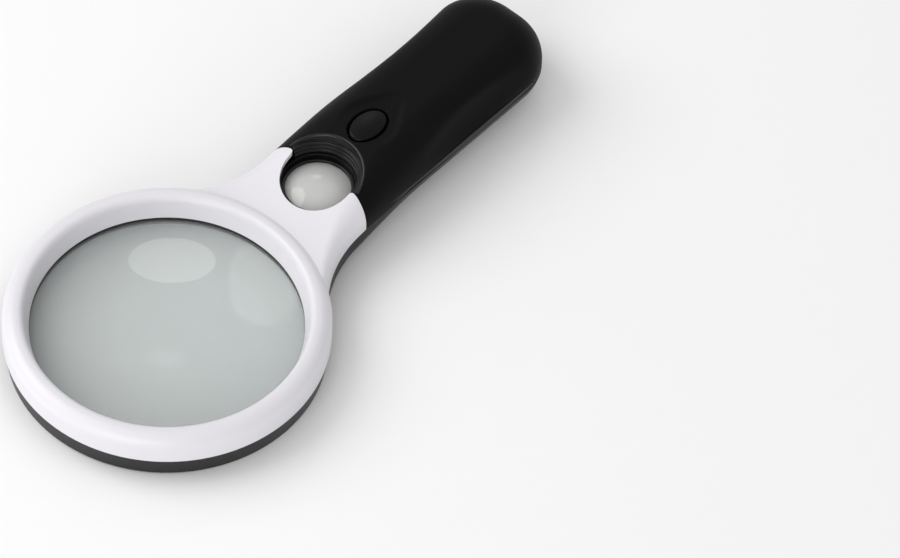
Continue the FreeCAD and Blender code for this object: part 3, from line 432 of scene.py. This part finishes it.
def piece(name, grid, slot, body="root", instead_of=(), loop=True, closed=False, finish=None):
    """Makes a grid a smooth-shaded piece in its slot's finish, or in one of its own."""
    mesh = skin(name, grid, loop, closed)
    mesh.shade_smooth()
    mesh.set_sharp_from_angle(angle=math.radians(SHARP_ANGLE))
    mesh.materials.append(FINISHES[finish or slot])
    made = stand(name, mesh)
    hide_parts(*instead_of)
    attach(made, body)
    return made


def round_edges(made, width, angle):
    """Rounds each edge that turns by more than angle degrees, over width millimetres on both of its faces."""
    edge = made.modifiers.new("edges", "BEVEL")
    edge.limit_method, edge.angle_limit = "ANGLE", math.radians(angle)
    edge.width, edge.segments = width * MM, BEVEL_SEGMENTS


def soften(node, width):
    """Breaks a carried-over moulding's edges: its loose triangles are joined and its flats made whole first."""
    shell = frame["nodes"][node]
    shell.modifiers.new("join", "WELD").merge_threshold = JOIN * MM
    flat = shell.modifiers.new("flats", "DECIMATE")
    flat.decimate_type, flat.angle_limit = "DISSOLVE", math.radians(FLAT_ANGLE)
    round_edges(shell, width, SOFT_ANGLE)
    shell.modifiers.new("shading", "WEIGHTED_NORMAL").keep_sharp = False


def cut_away(made, name, grid):
    """Takes a closed grid's volume out of a piece.  The tool stays out of the scene."""
    hole = made.modifiers.new(name, "BOOLEAN")
    hole.object = bpy.data.objects.new(name, skin(name, grid))
    hole.operation, hole.solver = "DIFFERENCE", "EXACT"


# ---- lenses and their rings -------------------------------------------------------
def make_lens(node, name, edge, finish):
    """Biconvex lens: both faces follow s = sqrt(R^2 - r^2) - sqrt(R^2 - rim^2) above and below its ground edge."""
    centre, half = sizes(node)
    rim, rise = half[0], half[2] - edge / 2
    ball = (rim ** 2 + rise ** 2) / (2 * rise)
    r = np.linspace(0.0, rim - EDGE_BREAK, LENS_STEPS)
    bulge = np.sqrt(ball ** 2 - r ** 2) - math.sqrt(ball ** 2 - rim ** 2)
    upper = np.stack((r, edge / 2 + bulge), axis=-1)
    side = np.array(((rim, edge / 2 - EDGE_BREAK / 2), (rim, EDGE_BREAK / 2 - edge / 2)))
    outline = np.concatenate((upper, side, upper[::-1] * (1, -1)))
    piece(name, turned(outline, centre), "lens_glass", instead_of=[node], finish=finish)


def make_loupe_ring():
    """Rounded retaining ring, a turned outline: its wall hugs the lens, and its flange lies on the barrel."""
    centre, half = sizes("loupe_retaining_ring")
    lens = sizes("loupe_lens")[1][0]
    rim, flange, top, low = lens - RING_LAP, half[0], half[2], -half[2]
    under = top - RING_FLANGE
    corners = ((rim, low), (lens, low), (lens, under), (flange, under), (flange, top), (rim, top))
    grid = turned(rounded(corners, RING_ROUNDS), centre)
    piece("loupe_ring", grid, "black_shell", instead_of=["loupe_retaining_ring"], closed=True, finish="gloss_black")


def make_button():
    """Oval cap: a crown s = top - drop (r / rim)^2 with a rolled rim, over a guide flange.

    A round groove in its underside takes the return spring when it is pressed."""
    centre, half = sizes("button_cap")
    spring = sizes("button_spring")[1][0]
    top, low = centre[2] + half[2], centre[2] - half[2]
    rim, flange, squeeze = half[1] - GUIDE_WIDTH - CAP_INSET, half[1], half[1] - half[0]
    r = np.linspace(0.0, rim - CAP_ROLL, CROWN_STEPS)
    crown = np.stack((r, top - CAP_DROP * (r / rim) ** 2), axis=-1)
    turn = np.linspace(0.0, TURN / 4, ROLL_STEPS + 1)[1:]
    roll = CAP_ROLL * np.stack((np.sin(turn) - 1, np.cos(turn) - 1), axis=-1) + (rim, crown[-1, 1])
    guide = low + GUIDE_HEIGHT
    face = np.concatenate((crown, roll, ((rim, guide),)))
    face = np.column_stack((face, face[:, 0] * (1 - squeeze / rim)))
    inner, outer, deep = spring - GROOVE_INSIDE, spring + GROOVE_OUTSIDE, low + GROOVE_DEPTH
    skirt = np.array((
        (flange, guide, flange - squeeze), (flange, low, flange - squeeze), (outer, low, outer),
        (outer, deep, outer), (inner, deep, inner), (inner, low, inner), (0.0, low, 0.0),
    ))
    grid = turned(np.concatenate((face, skirt)), (centre[0], centre[1], 0.0))
    piece("thumb_button", grid, "button_plastic", "button", ["button_cap"])


# ---- cells and their springs --------------------------------------------------------
def make_battery_spring(node, side):
    """Flattened conical coil that narrows towards the cell, which lies on the given side of it."""
    centre, half = sizes(node)
    wide, narrow = half[0] - SPRING_WIRE, SPRING_TAPER * half[0] - SPRING_WIRE
    grid = coil(wide, narrow, side * (half[1] - SPRING_WIRE), centre)
    piece(node + "_coil", grid, "nickel_contact", instead_of=[node], loop=False, closed=True)


def make_cell(node, side):
    """Round cell, a turned outline: rolled ends, a groove at the nub's end and the nub itself."""
    centre, half = sizes(node)
    radius, end = half[0], half[1]
    nub = end - NUB_LENGTH
    base = np.add(CELL_BASE, (radius, -end))
    neck = np.add(CELL_SHOULDER, (radius, nub))
    tip = ((NUB_FOOT, nub - NUB_SINK), (NUB_RADIUS, nub), (NUB_RADIUS, end), (0.0, end))
    corners = np.concatenate((((0.0, -end),), base, neck, tip))
    outline = rounded(corners, CELL_ROUND)[CORNER_STEPS:-CORNER_STEPS] * (1, side)
    grid = turned(outline, centre, CELL_AROUND, along_y=True)
    piece(node + "_can", grid, "cell_jacket", instead_of=[node])


# ---- the black top cover ----------------------------------------------------------
def smooth_step(t):
    """3 t^2 - 2 t^3, held between 0 and 1."""
    t = np.clip(t, 0.0, 1.0)
    return t * t * (3 - 2 * t)


def shoulder(y):
    """Height of the top and radius of its long edges at y: both follow one smooth step up the neck."""
    rise = smooth_step((y - NECK_RISE_START) / (HANDLE_START - NECK_RISE_START))
    return NECK_TOP + (HANDLE_TOP - NECK_TOP) * rise, NECK_EDGE + (HANDLE_EDGE - NECK_EDGE) * rise


def hollowed(grid):
    """Presses the finger hollows into the cover.

    A hollow is the tube of a large ring: the distance q from the tube's centre grows to
    q + k ln(1 + exp((tube - q) / k))."""
    x, y, z = grid[..., 0], grid[..., 1], grid[..., 2]
    side = np.where(x < 0, -1.0, 1.0)
    across, along = x * side - HOLLOW_X, y - HOLLOW_Y
    ring = np.hypot(across, along)
    out, up = ring - HOLLOW_RING, z - HOLLOW_Z
    q = np.hypot(out, up)
    push = 1 + HOLLOW_BLEND * np.log1p(np.exp((HOLLOW_TUBE - q) / HOLLOW_BLEND)) / q
    grow = (HOLLOW_RING + out * push) / ring
    return np.stack((side * (HOLLOW_X + across * grow), HOLLOW_Y + along * grow, HOLLOW_Z + up * push), axis=-1)


def recessed(grid):
    """Presses the button's recess into the cover: a teardrop, a circle with two tangents to its tail.

    Across its edge the height falls to the floor by one smooth step, and the tail fades by another."""
    x, y, z = grid[..., 0], grid[..., 1], grid[..., 2]
    reach = y - BUTTON_Y
    lean = math.acos(RECESS_RADIUS / RECESS_TAIL)
    beside = np.abs(x) * math.sin(lean) + reach * math.cos(lean) - RECESS_RADIUS
    ahead = reach * math.sin(lean) - np.abs(x) * math.cos(lean)
    edge = np.where(ahead > 0, beside, np.hypot(x, reach) - RECESS_RADIUS)
    fade = 1 - smooth_step((reach - RECESS_FADE) / (RECESS_TAIL - RECESS_FADE))
    inside = smooth_step(0.5 - edge / RECESS_BLEND) * fade
    return np.stack((x, y, z - inside * np.maximum(z - RECESS_FLOOR, 0.0)), axis=-1)


def cover_half():
    """The cover's +X half: rows follow the plan's outline, columns run inwards from it.

    Going inwards the section is a short wall, then the long edge (r (1 - cos f) in, r sin f up), then the flat
    top to the middle.  Round the tip the rows turn about the centre of the plan's corner.  The seam bends the
    first rows back by sqrt(R^2 - x^2) - R."""
    low, high = (np.array(corner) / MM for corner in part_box("handle_top_cover"))
    parting, straight = low[2], high[1] - TIP_CORNER
    flat = HANDLE_HALF - TIP_CORNER
    y = np.append(np.linspace(SEAM_Y, straight, SIDE_ROWS), np.full(TIP_ROWS + END_ROWS, straight))
    turn = np.append(np.zeros(SIDE_ROWS), np.linspace(0.0, TURN / 4, TIP_ROWS + 1)[1:])
    turn = np.append(turn, np.full(END_ROWS, TURN / 4))
    middle = np.append(np.full(SIDE_ROWS + TIP_ROWS, flat), np.linspace(flat, 0.0, END_ROWS + 1)[1:])
    y, turn, middle = y[:, None], turn[:, None], middle[:, None]

    bend = np.append(np.zeros(2), np.linspace(0.0, TURN / 4, EDGE_COLUMNS + 1)[1:])
    bend = np.append(bend, np.full(TOP_COLUMNS, TURN / 4))
    fill = np.append(np.zeros(EDGE_COLUMNS + 2), np.linspace(0.0, 1.0, TOP_COLUMNS + 1)[1:])
    arched = 0.0
    for _ in range(SEAM_PASSES):
        top, edge = shoulder(y + arched)
        inset = edge * (1 - np.cos(bend))
        neck = 1 - smooth_step((y + arched - NECK_SIDE_START) / (HANDLE_START - NECK_SIDE_START))
        x = (middle + NECK_WIDER * neck + (TIP_CORNER - inset) * np.cos(turn)) * (1 - fill)
        arched = np.sqrt(SEAM_RADIUS ** 2 - x ** 2) - SEAM_RADIUS
        arched = arched * (1 - smooth_step((y - SEAM_Y) / SEAM_FADE))
    z = top - edge + edge * np.sin(bend)
    z[:, 0] = parting
    return np.stack((x, y + arched + (TIP_CORNER - inset) * np.sin(turn) * (1 - fill), z), axis=-1)


def make_cover():
    """Upper half of the handle: a half and its mirror image, pressed in, given a wall and cut open."""
    half = cover_half()
    grid = np.concatenate((half * (-1, 1, 1), half[:, -2::-1]), axis=1)
    grid = recessed(hollowed(grid))
    cover = piece("handle_cover", grid, "black_shell", instead_of=["handle_top_cover"], loop=False)
    wall = cover.modifiers.new("wall", "SOLIDIFY")
    wall.thickness, wall.offset = WALL * MM, -1.0
    cut_away(cover, "loupe_cut", loupe_hole())
    cut_away(cover, "button_cut", button_hole())
    round_edges(cover, COVER_EDGE, COVER_EDGE_ANGLE)


def loupe_hole():
    """Cylinder that clears the collar: an outline of four corners, turned."""
    radius = COLLAR_RADIUS + COLLAR_LIP / 2
    outline = np.array(((0.0, 0.0), (radius, 0.0), (radius, CUT_HIGH), (0.0, CUT_HIGH)))
    return turned(outline, (0.0, LOUPE_Y, 0.0))


def button_hole():
    """Oval with a flared mouth at the recess's floor: an outline turned, with its radius across less by one amount."""
    half = sizes("button_cap")[1]
    rim = half[1] - GUIDE_WIDTH + BUTTON_GAP
    wide = rim + FLARE_WIDTH
    outline = np.array((
        (0.0, HOLE_LOW), (rim, HOLE_LOW), (rim, RECESS_FLOOR - FLARE_START),
        (rim + FLARE_STEP, RECESS_FLOOR - FLARE_RISE), (wide, RECESS_FLOOR + FLARE_TOP), (wide, CUT_HIGH),
        (0.0, CUT_HIGH),
    ))
    across = np.maximum(outline[:, 0] - half[1] + half[0], 0.0)
    return turned(np.column_stack((outline, across)), (0.0, BUTTON_Y, 0.0))


def make_collar():
    """Stepped, rounded rings round the loupe's far side: a profile turned from a to 180 - a degrees.

    Its heights are held by the cover's top - drop + rise sqrt(1 - (2 u - 1)^2), with u from 0 to 1 over the lip."""
    rim = COLLAR_RADIUS + COLLAR_LIP
    radii = np.append(np.repeat(COLLAR_HOLE + COLLAR_STEP * np.arange(3), 2), COLLAR_RADIUS)
    heights = np.append(COLLAR_LOW, np.repeat(COLLAR_HEIGHTS, 2))
    radii = np.concatenate((radii, np.linspace(COLLAR_RADIUS, rim, LIP_STEPS), (rim,)))
    heights = np.concatenate((heights, np.full(LIP_STEPS, COLLAR_HIGH), (COLLAR_LOW,)))
    rounds = np.append(COLLAR_ROUNDS, np.full(LIP_STEPS + 1, LIP_ROUND))
    r, s = rounded(np.column_stack((radii, heights)), rounds).T
    start = np.arcsin((SEAM_Y - COLLAR_TUCK - LOUPE_Y) / r)
    angle = start + (TURN / 2 - 2 * start) * np.linspace(0.0, 1.0, COLLAR_ROWS)[:, None]
    x, y = r * np.cos(angle), LOUPE_Y + r * np.sin(angle)
    u = np.clip((r - COLLAR_RADIUS) / COLLAR_LIP, 0.0, 1.0)
    lip = shoulder(y)[0] - LIP_DROP + LIP_RISE * np.sqrt(1 - (2 * u - 1) ** 2)
    grid = np.stack((x, y, np.minimum(s, lip)), axis=-1)
    caps = grid[[0, -1]].mean(axis=1, keepdims=True) + 0 * grid[[0, -1]]
    grid = np.concatenate((caps[:1], grid, caps[1:]))
    piece("loupe_collar", grid, "black_shell", loop=False, closed=True, finish="gloss_black")


# ---- cuts in the bezel --------------------------------------------------------------
def round_arm_tips():
    """Rounds the inner corner of both arms: what is left of each corner c lies under bent(a, c, b)."""
    x = COLLAR_HOLE * math.cos(math.asin(ARM_CORNER / COLLAR_HOLE))
    y = HEAD_Y + math.sqrt((SEAM_RADIUS - ARM_SEAM_GAP) ** 2 - x ** 2)
    heights = np.array((ARM_CUT_LOW, ARM_CUT_LOW, ARM_CUT_HIGH, ARM_CUT_HIGH))
    for side, name in ((1, "tip_cut_right"), (-1, "tip_cut_left")):
        corner = np.array((side * x, y))
        a, b = corner + (side * ARM_LEAN_X, -ARM_ROUND), corner + (side * ARM_ROUND, -ARM_LEAN_Y)
        outer = (b + (0.0, ARM_CLEAR_Y), corner + (-side * ARM_CLEAR_X, ARM_CLEAR_Y), a + (-side * ARM_CLEAR_X, 0.0))
        outline = np.concatenate((bent(a, corner, b, TIP_STEPS), outer))
        middle = outline.mean(axis=0) + 0 * outline
        plan = np.stack((middle, outline, outline, middle), axis=1)
        height = heights[:, None] + 0 * plan[..., :1]
        cut_away(frame["nodes"]["front_bezel"], name, np.concatenate((plan, height), axis=-1))


def round_mouth():
    """Rolls the bezel's crest into its mouth: the edge follows bent(a, c, b) about the old corner c."""
    low = CREST_Z - MOUTH_ROLL
    a = np.array((MOUTH_RADIUS - MOUTH_SLOPE * MOUTH_ROLL, low))
    c, b = np.array((MOUTH_RADIUS, CREST_Z)), np.array((MOUTH_RADIUS + MOUTH_ROLL, CREST_Z))
    roll = bent(a, c, b, MOUTH_STEPS)
    ends = ((b[0], MOUTH_CUT_HIGH), (MOUTH_CUT_RADIUS, MOUTH_CUT_HIGH), (MOUTH_CUT_RADIUS, low - HAIR))
    outline = np.concatenate((roll, ends, roll[:1]))
    cut_away(frame["nodes"]["front_bezel"], "mouth_cut", turned(outline, (0.0, HEAD_Y, 0.0)))


make_camera()
make_studio()
make_floor()
dress_frame()
make_lens("main_lens", "large_lens", MAIN_LENS_EDGE, "lens_glass")
make_lens("loupe_lens", "small_lens", LOUPE_LENS_EDGE, "domed_optic")
make_loupe_ring()
make_button()
make_cover()
make_collar()
make_battery_spring("front_contact_spring", 1)
make_battery_spring("rear_contact_spring", -1)
make_cell("cell_left", -1)
make_cell("cell_right", 1)
round_arm_tips()
round_mouth()
for shell, width in SOFTENED.items():
    soften(shell, width)
